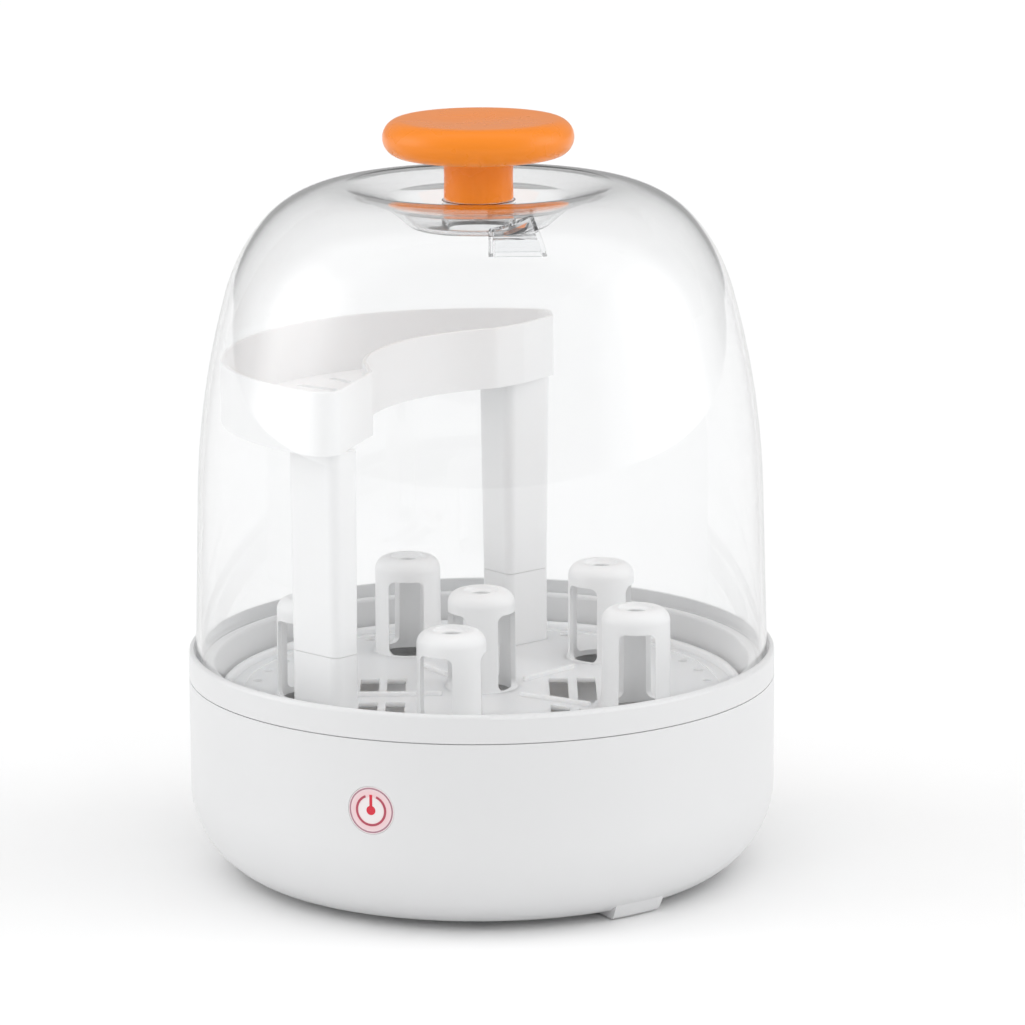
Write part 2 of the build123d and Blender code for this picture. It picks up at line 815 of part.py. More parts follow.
def leg_outline(place, turn, size, inset):
    """The rounded oblong of a leg, shrunk by inset all round."""
    with Locations(Location((*place, 0), (0, 0, turn))):
        RectangleRounded(size[0] - 2 * inset, size[1] - 2 * inset, leg_corner - inset)


def leg_socket(place, turn, size):
    """The stub on the rack that a tray leg plugs into."""
    with BuildPart() as socket:
        with BuildSketch(Plane.XY.offset(rack_bottom)):
            leg_outline(place, turn, size, post_fit)
        extrude(amount=leg_joint_height - rack_bottom)
        with BuildSketch(Plane.XY.offset(rack_bottom + 2.5)):
            leg_outline(place, turn, size, leg_wall)
        extrude(amount=leg_joint_height - rack_bottom, mode=Mode.SUBTRACT)
    return socket.part


def tray_leg(place, turn, size, draft):
    """A hollow leg under the tray that widens upwards, with a spigot that slides into its socket."""
    leg_foot = leg_joint_height + body_gap
    with BuildPart() as leg:
        with BuildSketch(Plane.XY.offset(leg_foot)):
            leg_outline(place, turn, size, post_fit)
        extrude(amount=tray_floor_height - leg_foot, taper=-draft)
        with BuildSketch(Plane.XY.offset(leg_joint_height - spigot_length)):
            leg_outline(place, turn, size, leg_wall + slide_fit)
        extrude(amount=spigot_length + 1)
        with BuildSketch(Plane.XY.offset(leg_joint_height - spigot_length - 1)):
            leg_outline(place, turn, size, leg_wall + slide_fit + 1.4)
        extrude(amount=spigot_length + 5, mode=Mode.SUBTRACT)
        with BuildSketch(Plane.XY.offset(leg_foot + 3)):
            leg_outline(place, turn, size, leg_wall)
        extrude(amount=tray_floor_height - leg_foot - 6, taper=-draft, mode=Mode.SUBTRACT)
    return leg.part


for side, leg, draft in zip(("left", "right"), leg_seats, (left_leg_draft, right_leg_draft)):
    save(f"{side}_leg_socket", leg_socket(*leg))
    save(f"{side}_tray_leg", tray_leg(*leg, draft))

# ---------------------------------------------------------------- accessory tray

tray_back_angle = 73.0
tray_front_angle = 237.0
tray_inner_back = (8.0, 63.0)
tray_inner_middle = (-36.0, 31.0)
tray_inner_front = (-53.0, -24.0)
tray_lobe_corner = (-49.5, -47.0)
tray_back_inner = (22.0, 76.0)
tray_back_outer = (36.5, 97.0)


def tray_outline(inset):
    """The tray's plan: a crescent that follows the lid and wraps round the middle of the rack."""
    back = on_circle(tray_outer_radius, tray_back_angle)
    front = on_circle(tray_outer_radius, tray_front_angle)
    middle = on_circle(tray_outer_radius, (tray_back_angle + tray_front_angle) / 2)
    with BuildSketch() as outline:
        with BuildLine():
            ThreePointArc(back, middle, front)
            Polyline(front, tray_lobe_corner, tray_inner_front)
            ThreePointArc(tray_inner_front, tray_inner_middle, tray_inner_back)
            Polyline(tray_inner_back, tray_back_inner, tray_back_outer, back)
        make_face()
        fillet(outline.vertices(), tray_corner)
        if inset > 0:
            offset(amount=-inset, mode=Mode.REPLACE)
    return outline.sketch


with BuildPart() as accessory_tray:
    with BuildSketch(Plane.XY.offset(tray_floor_height)):
        add(tray_outline(0))
    extrude(amount=tray_rim_height - tray_floor_height)
    with BuildSketch(Plane.XY.offset(tray_floor_height + tray_wall)):
        add(tray_outline(tray_wall))
    extrude(amount=tray_rim_height, mode=Mode.SUBTRACT)
    fillet(accessory_tray.faces().sort_by(Axis.Z)[-1].edges(), 0.6)
    # Drain slots in the floor, kept clear of the legs.
    with BuildSketch(Plane.XY.offset(tray_floor_height - 1)) as tray_slots:
        for angle in range(84, 216, 12):
            place = Location((*on_circle(95.0, angle), 0), (0, 0, angle))
            with Locations(place):
                SlotOverall(30.0, 4.0)
        with Locations(Location((*right_leg_place, 0), (0, 0, right_leg_turn))):
            Rectangle(right_leg_size[0] + 8, right_leg_size[1] + 8, mode=Mode.SUBTRACT)
    extrude(amount=tray_wall + 2, mode=Mode.SUBTRACT)
save("accessory_tray", accessory_tray.part)

# ---------------------------------------------------------------- lid


def lid_side(inset):
    """The lid's side from its foot to its crest, as tangent arcs, inset from the outer surface.

    Returns the path's last point. It is drawn in the radial plane, with x outwards."""
    lean = radians(lid_wall_lean)
    rise = lid_wall_top - lid_foot_height
    top_radius = lid_foot_radius - rise * sin(lean) / cos(lean)
    foot = (lid_foot_radius - inset / cos(lean), lid_foot_height)
    top = (top_radius - inset * cos(lean), lid_wall_top - inset * sin(lean))
    Line(foot, top)
    point, heading = top, 90 + lid_wall_lean
    for radius, end_heading in lid_arcs:
        turn = 90 + end_heading - heading
        arc = JernArc(point, direction_at(heading), radius - inset, turn)
        point, heading = tuple(arc @ 1)[:2], 90 + end_heading
    return point


def direction_at(heading):
    """The unit vector at this angle in the radial plane."""
    return (cos(radians(heading)), sin(radians(heading)))


def dish_side(crest, inset):
    """From the crest down into the dish round the knob: a gentle slope, then a steeper wall.

    Returns the point where the dish's flat floor starts."""
    roll = JernArc(crest, (-1, 0), crest_roll_radius - inset, dish_slope)
    slope = PolarLine(roll @ 1, dish_slope_length, 180 + dish_slope)
    shoulder_turn = dish_wall_slope - dish_slope
    shoulder_radius = dish_shoulder_radius - inset
    shoulder = JernArc(slope @ 1, direction_at(180 + dish_slope), shoulder_radius, shoulder_turn)
    side = PolarLine(shoulder @ 1, dish_wall_length, 180 + dish_wall_slope)
    fillet_radius = dish_fillet_radius + inset
    bottom = JernArc(side @ 1, direction_at(180 + dish_wall_slope), fillet_radius, -dish_wall_slope)
    return tuple(bottom @ 1)[:2]


with BuildPart() as dome_lid:
    with BuildSketch(Plane.XZ):
        with BuildLine():
            outer_crest = lid_side(0)
            outer_floor = dish_side(outer_crest, 0)
            Polyline(
                outer_floor,
                (boss_radius, outer_floor[1]),
                (boss_radius, boss_top),
                (2.7, boss_top),
                (2.7, boss_top - wall),
                (boss_radius - wall, boss_top - wall),
                (boss_radius - wall, outer_floor[1] - wall),
            )
            inner_crest = lid_side(wall)
            inner_floor = dish_side(inner_crest, wall)
            Line((boss_radius - wall, outer_floor[1] - wall), inner_floor)
            inner_foot = lid_foot_radius - wall / cos(radians(lid_wall_lean))
            Line((inner_foot, lid_foot_height), (lid_foot_radius, lid_foot_height))
        make_face()
    revolve(axis=Axis.Z)
    # Steam outlet through the dish, over the hood.
    with BuildSketch(Plane.XY.offset(outer_floor[1] - 10)):
        with Locations(((hood_left + hood_right) / 2 - 2.0, hood_middle)):
            SlotOverall(12.0, 3.4)
    extrude(amount=30.0, mode=Mode.SUBTRACT)
save("dome_lid", dome_lid.part)

def hood_block(inset, foot):
    """A block with three upright sides; its right side leans inwards. Shrunk by inset."""
    right = hood_right - inset
    top = foot + hood_height
    lean = (top - hood_bottom) * tan(radians(hood_lean))
    with BuildPart() as block:
        with BuildSketch(Plane.XY.offset(foot)):
            with Locations(((hood_left + hood_right) / 2, hood_middle)):
                RectangleRounded(right - hood_left - inset, hood_depth - 2 * inset, 1.5)
        extrude(amount=hood_height)
        with BuildSketch(Plane.XZ.offset(-hood_middle - hood_depth)):
            with BuildLine():
                Polyline(
                    (right, hood_bottom),
                    (right + 5.0, hood_bottom),
                    (right + 5.0, top),
                    (right - lean, top),
                    (right, hood_bottom),
                )
            make_face()
        extrude(amount=2 * hood_depth, mode=Mode.SUBTRACT)
    return block.part


with BuildPart() as steam_hood:
    add(hood_block(0, hood_bottom))
    add(hood_block(hood_wall, hood_bottom - 1), mode=Mode.SUBTRACT)
    # A baffle inside that turns the steam back.
    with BuildSketch(Plane.XY.offset(hood_bottom + 8.0)):
        with Locations(((hood_left + hood_right) / 2 - 1.6, hood_middle - 2.0)):
            Rectangle(hood_right - hood_left - 6.0, hood_depth - 6.0)
    extrude(amount=1.6)
    # The rim is cut to the underside of the dish.
    with BuildSketch(Plane.XZ):
        with BuildLine():
            side_crest = lid_side(wall)
            side_floor = dish_side(side_crest, wall)
            Polyline(
                side_floor,
                (0, side_floor[1]),
                (0, lip_height + 300),
                (200, lip_height + 300),
                (200, lid_foot_height),
                (lid_foot_radius - wall / cos(radians(lid_wall_lean)), lid_foot_height),
            )
        make_face()
    revolve(axis=Axis.Z, mode=Mode.SUBTRACT)
save("steam_hood", steam_hood.part)

edge_circle = knob_radius - knob_edge_radius
knob_top = knob_edge_height + knob_edge_radius
knob_under = knob_edge_height - knob_edge_radius
insert_radius = 4.0
insert_length = 14.0
with BuildPart() as lid_knob:
    with BuildSketch(Plane.XZ):
        with BuildLine():
            dip_middle = (edge_circle / 2, knob_top - knob_dip * 0.75)
            ThreePointArc((0, knob_top - knob_dip), dip_middle, (edge_circle, knob_top))
            CenterArc((edge_circle, knob_edge_height), knob_edge_radius, 90, -180)
            neck_top = (knob_stem_radius + 5.0, knob_under)
            neck_foot = (knob_stem_radius, knob_under - 3.0)
            Line((edge_circle, knob_under), neck_top)
            RadiusArc(neck_top, neck_foot, 5.2)
            Polyline(
                (knob_stem_radius, knob_under - 3.0),
                (knob_stem_radius, boss_top),
                (insert_radius, boss_top),
                (insert_radius, boss_top + insert_length),
                (0, boss_top + insert_length),
                (0, knob_top - knob_dip),
            )
        make_face()
    revolve(axis=Axis.Z)
save("lid_knob", lid_knob.part)

with BuildPart() as knob_insert:
    with BuildSketch(Plane.XY.offset(boss_top + 0.4)):
        Circle(insert_radius)
        Circle(2.0, mode=Mode.SUBTRACT)
    extrude(amount=insert_length - 1.0)
save("knob_insert", knob_insert.part)

washer_top = boss_top - wall
with BuildPart() as knob_washer:
    with BuildSketch(Plane.XY.offset(washer_top - 1.5)):
        Circle(7.0)
        Circle(2.2, mode=Mode.SUBTRACT)
    extrude(amount=1.5)
save("knob_washer", knob_washer.part)

knob_screw = pan_head_screw(0, 0, washer_top - 1.5, 1.9, 14.0, 4.2, 2.6)
save("knob_screw", knob_screw)
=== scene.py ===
"""Electric steam steriliser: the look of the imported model, its floor, lights and camera."""

from math import cos, pi, radians, sin

import bmesh
import bpy
from mathutils import Matrix, Vector


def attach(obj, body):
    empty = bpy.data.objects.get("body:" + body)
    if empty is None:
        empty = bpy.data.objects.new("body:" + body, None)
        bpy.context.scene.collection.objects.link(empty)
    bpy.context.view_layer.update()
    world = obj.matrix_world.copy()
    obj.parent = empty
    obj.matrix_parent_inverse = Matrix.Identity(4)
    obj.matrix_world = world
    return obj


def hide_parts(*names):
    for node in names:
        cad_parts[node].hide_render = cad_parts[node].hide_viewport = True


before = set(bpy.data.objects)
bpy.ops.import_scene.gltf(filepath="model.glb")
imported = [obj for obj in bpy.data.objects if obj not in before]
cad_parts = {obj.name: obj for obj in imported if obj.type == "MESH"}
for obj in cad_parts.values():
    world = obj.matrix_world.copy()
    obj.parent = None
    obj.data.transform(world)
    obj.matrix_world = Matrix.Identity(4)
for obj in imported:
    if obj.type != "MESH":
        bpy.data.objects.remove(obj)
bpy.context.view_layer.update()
MM = 0.001

# ---------------------------------------------------------------- sizes, in millimetres

# Heights are above the table and radii from the upright axis.
LIP = 108.2
WALL = 2.5
LID_SEAT = 101.5
LID_FOOT_RADIUS = 136.7
LID_LEAN = 1.58
LID_WALL_TOP = LIP + 76.15
# Arcs of the lid's side, each with how far it has turned from upright at its end, in degrees.
LID_ARCS = ((387.75, 15.88), (87.28, 39.13), (51.12, 90.0))
CREST_ROLL_RADIUS = 18.0
DISH_SLOPE = 17.0
DISH_SLOPE_LENGTH = 15.5
DISH_SHOULDER_RADIUS = 12.0
DISH_WALL_SLOPE = 45.0
DISH_WALL_LENGTH = 9.5
DISH_FILLET_RADIUS = 8.0
BOSS_RADIUS = 17.4
BOSS_TOP = LIP + 214.6
BUTTON_ANGLE = 248.6
BUTTON_HEIGHT = 61.4

# ---------------------------------------------------------------- camera

AIM = Vector((0, 0, 0.1716))
DISTANCE = 2.5274
ELEVATION = radians(12.41)
YAW = radians(0.343)
ROLL = radians(-0.38)
LENS = 186.4
SENSOR_WIDTH = 36

camera = bpy.data.objects.new("camera", bpy.data.cameras.new("camera"))
bpy.context.collection.objects.link(camera)
camera.data.lens = LENS
camera.data.sensor_width = SENSOR_WIDTH
camera.data.clip_end = 50
eye = AIM + Vector((0, -DISTANCE * cos(ELEVATION), DISTANCE * sin(ELEVATION)))
tilt = Matrix.Rotation(pi / 2 - ELEVATION, 4, "X")
camera.matrix_world = (
    Matrix.Translation(eye) @ tilt @ Matrix.Rotation(-YAW, 4, "Y") @ Matrix.Rotation(ROLL, 4, "Z")
)
bpy.context.scene.camera = camera
bpy.context.scene.view_settings.view_transform = "Standard"

# ---------------------------------------------------------------- mesh helpers


def add_object(name, mesh, smooth=True):
    """Links a mesh as a new object, shaded smooth except across sharp edges."""
    mesh.name = name
    piece = bpy.data.objects.new(name, mesh)
    bpy.context.collection.objects.link(piece)
    if smooth:
        mesh.shade_smooth()
        mesh.set_sharp_from_angle(angle=radians(38))
    return piece


def arc(centre, radius, start, end, steps):
    """Points of an arc in (radius, height), angles in degrees."""
    points = []
    for i in range(steps + 1):
        a = radians(start + (end - start) * i / steps)
        points.append((centre[0] + radius * cos(a), centre[1] + radius * sin(a)))
    return points


def tangent_arc(points, heading, radius, turn, steps):
    """Continues a path from its last point and heading along an arc. Positive turn is to the left."""
    x, y = points[-1]
    side = 1 if turn > 0 else -1
    a = radians(heading)
    centre = (x - side * radius * sin(a), y + side * radius * cos(a))
    start = heading - side * 90
    points += arc(centre, radius, start, start + turn, steps)[1:]
    return heading + turn


def run(points, heading, length):
    """Continues a path straight on."""
    x, y = points[-1]
    points.append((x + length * cos(radians(heading)), y + length * sin(radians(heading))))


def lathe(name, profile, segments=192, start=0.0, sweep=360.0):
    """Turns a closed profile of (radius, height) points about the axis. Points on the axis are merged."""
    mesh = bpy.data.meshes.new(name)
    bm = bmesh.new()
    full = abs(sweep) >= 360
    count = segments if full else segments + 1
    rings = []
    for radius, height in profile:
        if radius < 1e-6:
            rings.append([bm.verts.new((0, 0, height * MM))] * count)
            continue
        ring = []
        for i in range(count):
            a = radians(start + sweep * i / segments)
            ring.append(bm.verts.new((radius * cos(a) * MM, radius * sin(a) * MM, height * MM)))
        rings.append(ring)
    for lower, upper in zip(rings, rings[1:] + rings[:1]):
        for i in range(segments):
            j = (i + 1) % count
            corners = []
            for corner in (lower[i], lower[j], upper[j], upper[i]):
                if corner not in corners:
                    corners.append(corner)
            if len(corners) > 2:
                bm.faces.new(corners)
    if not full:
        bm.faces.new([ring[0] for ring in rings])
        bm.faces.new([ring[-1] for ring in reversed(rings)])
    bmesh.ops.recalc_face_normals(bm, faces=bm.faces)
    bm.to_mesh(mesh)
    bm.free()
    return add_object(name, mesh)


def cut(piece, cutter):
    """Cuts one mesh with another and keeps the result as plain mesh."""
    modifier = piece.modifiers.new("cut", "BOOLEAN")
    modifier.operation = "DIFFERENCE"
    modifier.solver = "EXACT"
    modifier.object = cutter
    bpy.context.view_layer.update()
    graph = bpy.context.evaluated_depsgraph_get()
    mesh = bpy.data.meshes.new_from_object(piece.evaluated_get(graph))
    piece.modifiers.clear()
    piece.data = mesh
    mesh.shade_smooth()
    mesh.set_sharp_from_angle(angle=radians(38))
    bpy.data.objects.remove(cutter)


def slab(name, outline, low, high):
    """A straight prism over a plan outline of (x, y) points, in millimetres."""
    mesh = bpy.data.meshes.new(name)
    bm = bmesh.new()
    foot = [bm.verts.new((x * MM, y * MM, low * MM)) for x, y in outline]
    top = [bm.verts.new((x * MM, y * MM, high * MM)) for x, y in outline]
    bm.faces.new(foot)
    bm.faces.new(top)
    for i in range(len(outline)):
        j = (i + 1) % len(outline)
        bm.faces.new((foot[i], foot[j], top[j], top[i]))
    bmesh.ops.recalc_face_normals(bm, faces=bm.faces)
    bm.to_mesh(mesh)
    bm.free()
    return add_object(name, mesh)


def stadium(x, y, length, width, steps=12):
    """The outline of a slot that lies along x."""
    reach = (length - width) / 2
    right = arc((x + reach, y), width / 2, -90, 90, steps)
    left = arc((x - reach, y), width / 2, 90, 270, steps)
    return right + left


# ---------------------------------------------------------------- materials


def new_material(name):
    """A material with an empty tree, its output and a Principled shader."""
    material = bpy.data.materials.new(name)
    material.use_nodes = True
    tree = material.node_tree
    tree.nodes.clear()
    output = tree.nodes.new("ShaderNodeOutputMaterial")
    shader = tree.nodes.new("ShaderNodeBsdfPrincipled")
    tree.links.new(shader.outputs["BSDF"], output.inputs["Surface"])
    return material, tree, shader, output


def coordinates(tree, scale=(1, 1, 1)):
    """Object coordinates, stretched by scale."""
    place = tree.nodes.new("ShaderNodeTexCoord")
    mapping = tree.nodes.new("ShaderNodeMapping")
    mapping.inputs["Scale"].default_value = scale
    tree.links.new(place.outputs["Object"], mapping.inputs["Vector"])
    return mapping.outputs["Vector"]


def noise(tree, vector, scale, detail=3.0, roughness=0.55):
    """A noise texture's value."""
    node = tree.nodes.new("ShaderNodeTexNoise")
    node.inputs["Scale"].default_value = scale
    node.inputs["Detail"].default_value = detail
    node.inputs["Roughness"].default_value = roughness
    tree.links.new(vector, node.inputs["Vector"])
    return node.outputs["Fac"]


def spread(tree, value, low, high, start=0.3, end=0.7):
    """Maps a value that runs between start and end onto low to high."""
    node = tree.nodes.new("ShaderNodeMapRange")
    node.inputs["From Min"].default_value = start
    node.inputs["From Max"].default_value = end
    node.inputs["To Min"].default_value = low
    node.inputs["To Max"].default_value = high
    tree.links.new(value, node.inputs["Value"])
    return node.outputs["Result"]


def ramp(tree, value, stops):
    """Colours along a value, from stops of (position, colour)."""
    node = tree.nodes.new("ShaderNodeValToRGB")
    elements = node.color_ramp.elements
    while len(elements) < len(stops):
        elements.new(0.5)
    for element, (position, colour) in zip(elements, stops):
        element.position = position
        element.color = (*colour, 1)
    tree.links.new(value, node.inputs["Fac"])
    return node.outputs["Color"]


def tint(tree, value, dark, light, start=0.3, end=0.7):
    """A colour between two, chosen by a value."""
    return ramp(tree, value, ((start, dark), (end, light)))


def relief(tree, shader, height, distance, strength=1.0):
    """Bump on a shader from a height value, in metres."""
    bump = tree.nodes.new("ShaderNodeBump")
    bump.inputs["Strength"].default_value = strength
    bump.inputs["Distance"].default_value = distance
    tree.links.new(height, bump.inputs["Height"])
    tree.links.new(bump.outputs["Normal"], shader.inputs["Normal"])


def plastic(
    name,
    colour,
    roughness=0.35,
    depth=0.035,
    grain=900,
    grain_depth=0.00001,
    coat=0.0,
    glow=0.0,
    shine=0.5,
):
    """Moulded plastic: faint cloudiness in its colour and spark-eroded grain."""
    material, tree, shader, _ = new_material(name)
    vector = coordinates(tree)
    cloud = noise(tree, vector, 9, 2)
    dark = [c * (1 - depth) for c in colour]
    light = [min(1, c * (1 + depth * 0.5)) for c in colour]
    tree.links.new(tint(tree, cloud, dark, light, 0.2, 0.8), shader.inputs["Base Color"])
    patch = noise(tree, vector, 40, 3)
    low = roughness * 0.92
    high = roughness * 1.08
    tree.links.new(spread(tree, patch, low, high), shader.inputs["Roughness"])
    fine = noise(tree, vector, grain, 2)
    relief(tree, shader, fine, grain_depth, 0.5)
    shader.inputs["IOR"].default_value = 1.5
    shader.inputs["Specular IOR Level"].default_value = shine
    shader.inputs["Coat Weight"].default_value = coat
    shader.inputs["Coat Roughness"].default_value = 0.12
    if glow > 0:
        shader.inputs["Subsurface Weight"].default_value = glow
        shader.inputs["Subsurface Radius"].default_value = (1.0, 0.95, 0.9)
        shader.inputs["Subsurface Scale"].default_value = 0.007
    return material


def metal(name, colour, roughness=0.3, stretch=(1, 1, 1), grain=400, depth=0.12, bump=0.000008):
    """Metal with a drawn or rolled grain: stretch squeezes the pattern along an axis."""
    material, tree, shader, _ = new_material(name)
    shader.inputs["Metallic"].default_value = 1.0
    lines = noise(tree, coordinates(tree, stretch), grain, 4)
    cloud = noise(tree, coordinates(tree), 30, 3)
    dark = [c * (1 - depth) for c in colour]
    light = [min(1, c * (1 + depth * 0.6)) for c in colour]
    tree.links.new(tint(tree, cloud, dark, light), shader.inputs["Base Color"])
    tree.links.new(spread(tree, lines, roughness * 0.75, roughness * 1.3), shader.inputs["Roughness"])
    relief(tree, shader, lines, bump, 0.6)
    return material


def spun_steel(name, colour, roughness=0.3):
    """Stainless sheet brushed in circles round the axis."""
    material, tree, shader, _ = new_material(name)
    shader.inputs["Metallic"].default_value = 1.0
    place = tree.nodes.new("ShaderNodeTexCoord")
    split = tree.nodes.new("ShaderNodeSeparateXYZ")
    tree.links.new(place.outputs["Object"], split.inputs["Vector"])
    flat = tree.nodes.new("ShaderNodeCombineXYZ")
    tree.links.new(split.outputs["X"], flat.inputs["X"])
    tree.links.new(split.outputs["Y"], flat.inputs["Y"])
    length = tree.nodes.new("ShaderNodeVectorMath")
    length.operation = "LENGTH"
    tree.links.new(flat.outputs["Vector"], length.inputs[0])
    rings = tree.nodes.new("ShaderNodeTexNoise")
    rings.noise_dimensions = "1D"
    rings.inputs["Scale"].default_value = 1800
    rings.inputs["Detail"].default_value = 5
    tree.links.new(length.outputs["Value"], rings.inputs["W"])
    cloud = noise(tree, place.outputs["Object"], 25, 3)
    dark = [c * 0.88 for c in colour]
    tree.links.new(tint(tree, cloud, dark, colour), shader.inputs["Base Color"])
    polish = spread(tree, rings.outputs["Fac"], roughness * 0.7, roughness * 1.4)
    tree.links.new(polish, shader.inputs["Roughness"])
    relief(tree, shader, rings.outputs["Fac"], 0.00001, 0.5)
    return material


# How much painted shade clear plastic shows, from face on (0) to grazing (1); the darker colour stands in
# for the shade its steep walls show.
EDGE_SHADE_SHARES = ((0.0, 0.0), (0.6, 0.02), (0.8, 0.1), (0.9, 0.35), (0.97, 1.0))


def clear(name, colour, edge_shade, roughness, ior):
    """Clear plastic with painted shade where it is seen at a grazing angle, that lets the lamps through.
    """
    material, tree, shader, output = new_material(name)
    vector = coordinates(tree)
    facing = tree.nodes.new("ShaderNodeLayerWeight")
    facing.inputs["Blend"].default_value = 0.5
    stops = []
    for position, amount in EDGE_SHADE_SHARES:
        stops.append((position, [c + (e - c) * amount for c, e in zip(colour, edge_shade)]))
    tree.links.new(ramp(tree, facing.outputs["Facing"], stops), shader.inputs["Base Color"])
    patch = noise(tree, vector, 18, 3)
    tree.links.new(spread(tree, patch, roughness * 0.6, roughness * 1.4), shader.inputs["Roughness"])
    shader.inputs["Transmission Weight"].default_value = 1.0
    shader.inputs["IOR"].default_value = ior
    path = tree.nodes.new("ShaderNodeLightPath")
    through = tree.nodes.new("ShaderNodeBsdfTransparent")
    through.inputs["Color"].default_value = (0.985, 0.985, 0.985, 1)
    surface = shader.outputs["BSDF"]
    for kind in ("Is Diffuse Ray", "Is Shadow Ray"):
        mix = tree.nodes.new("ShaderNodeMixShader")
        tree.links.new(path.outputs[kind], mix.inputs["Fac"])
        tree.links.new(surface, mix.inputs[1])
        tree.links.new(through.outputs["BSDF"], mix.inputs[2])
        surface = mix.outputs["Shader"]
    tree.links.new(surface, output.inputs["Surface"])
    return material


shell = plastic("shell_white", (0.715, 0.718, 0.723), 0.32, depth=0.015, grain=1400, grain_depth=0.000004)
ring_plastic = plastic(
    "ring_white", (0.71, 0.713, 0.718), 0.32, depth=0.015, grain=1400, grain_depth=0.000004
)
rack_plastic = plastic("rack_plastic", (0.86, 0.863, 0.866), 0.32, depth=0.02, grain=1100)
rack_disc = plastic("rack_disc", (0.84, 0.843, 0.846), 0.30, depth=0.02, grain=1100, glow=1.0)
tray_plastic = plastic("tray_plastic", (0.87, 0.873, 0.876), 0.36, depth=0.02, grain=1100)
orange = plastic(
    "knob_orange", (0.86, 0.235, 0.01), 0.28, depth=0.05, grain=1300, grain_depth=0.000006, shine=0.35
)
# Each clear plastic's second colour is the painted shade it takes where seen at a grazing angle.
clear_dome = clear("clear_dome", (0.975, 0.978, 0.98), (0.2, 0.205, 0.215), 0.015, 1.49)
clear_hood = clear("clear_hood", (0.95, 0.955, 0.96), (0.45, 0.455, 0.465), 0.03, 1.49)
foot_rubber = plastic("foot_rubber", (0.09, 0.09, 0.095), 0.75, depth=0.15, grain=600, grain_depth=0.00003)
silicone = plastic("silicone", (0.55, 0.55, 0.55), 0.6, depth=0.06)
plate_steel = spun_steel("plate_steel", (0.93, 0.93, 0.935), 0.4)
sheet_steel = metal("sheet_steel", (0.62, 0.63, 0.65), 0.38, (1, 8, 8))
screw_steel = metal("screw_steel", (0.58, 0.59, 0.61), 0.32, (6, 6, 1), 700)
aluminium = metal("aluminium", (0.78, 0.79, 0.8), 0.45, (1, 1, 1), 260, 0.1, 0.00004)
element_steel = metal("element_steel", (0.36, 0.35, 0.34), 0.5, (1, 1, 12), 300, 0.25, 0.00002)
brass = metal("brass", (0.78, 0.57, 0.24), 0.28, (4, 4, 1), 600)
ceramic = plastic("ceramic", (0.76, 0.73, 0.65), 0.7, depth=0.08, grain=500, grain_depth=0.00003)
phenolic = plastic("phenolic", (0.035, 0.03, 0.027), 0.4, depth=0.3)
board_green = plastic("board_green", (0.02, 0.12, 0.05), 0.3, depth=0.3, coat=0.4)
relay_black = plastic("relay_black", (0.018, 0.018, 0.02), 0.5, depth=0.3)
capacitor_blue = plastic("capacitor_blue", (0.02, 0.035, 0.12), 0.35, depth=0.2)
nylon = plastic("nylon", (0.72, 0.70, 0.62), 0.45, depth=0.06)
lens_red = plastic("lens_red", (0.55, 0.015, 0.02), 0.15, depth=0.1, coat=0.5)
inlet_black = plastic("inlet_black", (0.022, 0.022, 0.024), 0.45, depth=0.3)
cable_black = plastic("cable_black", (0.03, 0.03, 0.032), 0.55, depth=0.3, grain=700)
sleeve = plastic("sleeve", (0.70, 0.69, 0.62), 0.8, depth=0.15, grain=2200, grain_depth=0.00006)

NODE_LOOKS = {
    "base_housing": shell,
    "top_ring": ring_plastic,
    "foot_pads": foot_rubber,
    "housing_screws": screw_steel,
    "heating_plate": plate_steel,
    "plate_seal": silicone,
    "plate_clamp_ring": sheet_steel,
    "clamp_screws": screw_steel,
    "heat_spreader": aluminium,
    "heater_element": element_steel,
    "heater_terminals": ceramic,
    "thermostat": phenolic,
    "thermal_fuse": ceramic,
    "fuse_clip": sheet_steel,
    "control_board": board_green,
    "board_relay": relay_black,
    "board_capacitor": capacitor_blue,
    "board_connector": nylon,
    "push_switch": relay_black,
    "indicator_led": lens_red,
    "board_screws": screw_steel,
    "power_inlet": inlet_black,
    "inlet_pins": brass,
    "supply_lead": cable_black,
    "heater_leads": sleeve,
    "rack_plate": rack_disc,
    "left_leg_socket": rack_plastic,
    "right_leg_socket": rack_plastic,
    "accessory_tray": tray_plastic,
    "left_tray_leg": tray_plastic,
    "right_tray_leg": tray_plastic,
    "steam_hood": clear_hood,
    "knob_insert": brass,
    "knob_washer": silicone,
    "knob_screw": screw_steel,
}
for number in range(6):
    NODE_LOOKS[f"bottle_post_{number}"] = rack_plastic
for node, material in NODE_LOOKS.items():
    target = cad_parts[node]
    for material_slot in target.material_slots:
        material_slot.material = material

# ---------------------------------------------------------------- the clear lid


def lid_path(inset):
    """The lid's side, crest and dish in (radius, height), moved inwards by inset."""
    lean = radians(LID_LEAN)
    top_radius = LID_FOOT_RADIUS - (LID_WALL_TOP - LID_SEAT) * sin(lean) / cos(lean)
    path = [(LID_FOOT_RADIUS - inset / cos(lean), LID_SEAT)]
    path.append((top_radius - inset * cos(lean), LID_WALL_TOP - inset * sin(lean)))
    heading = 90 + LID_LEAN
    for radius, end_heading in LID_ARCS:
        steps = 10 if radius > 200 else 16
        heading = tangent_arc(path, heading, radius - inset, 90 + end_heading - heading, steps)
    heading = tangent_arc(path, heading, CREST_ROLL_RADIUS - inset, DISH_SLOPE, 10)
    run(path, heading, DISH_SLOPE_LENGTH)
    heading = tangent_arc(path, heading, DISH_SHOULDER_RADIUS - inset, DISH_WALL_SLOPE - DISH_SLOPE, 8)
    run(path, heading, DISH_WALL_LENGTH)
    tangent_arc(path, heading, DISH_FILLET_RADIUS + inset, -DISH_WALL_SLOPE, 10)
    return path


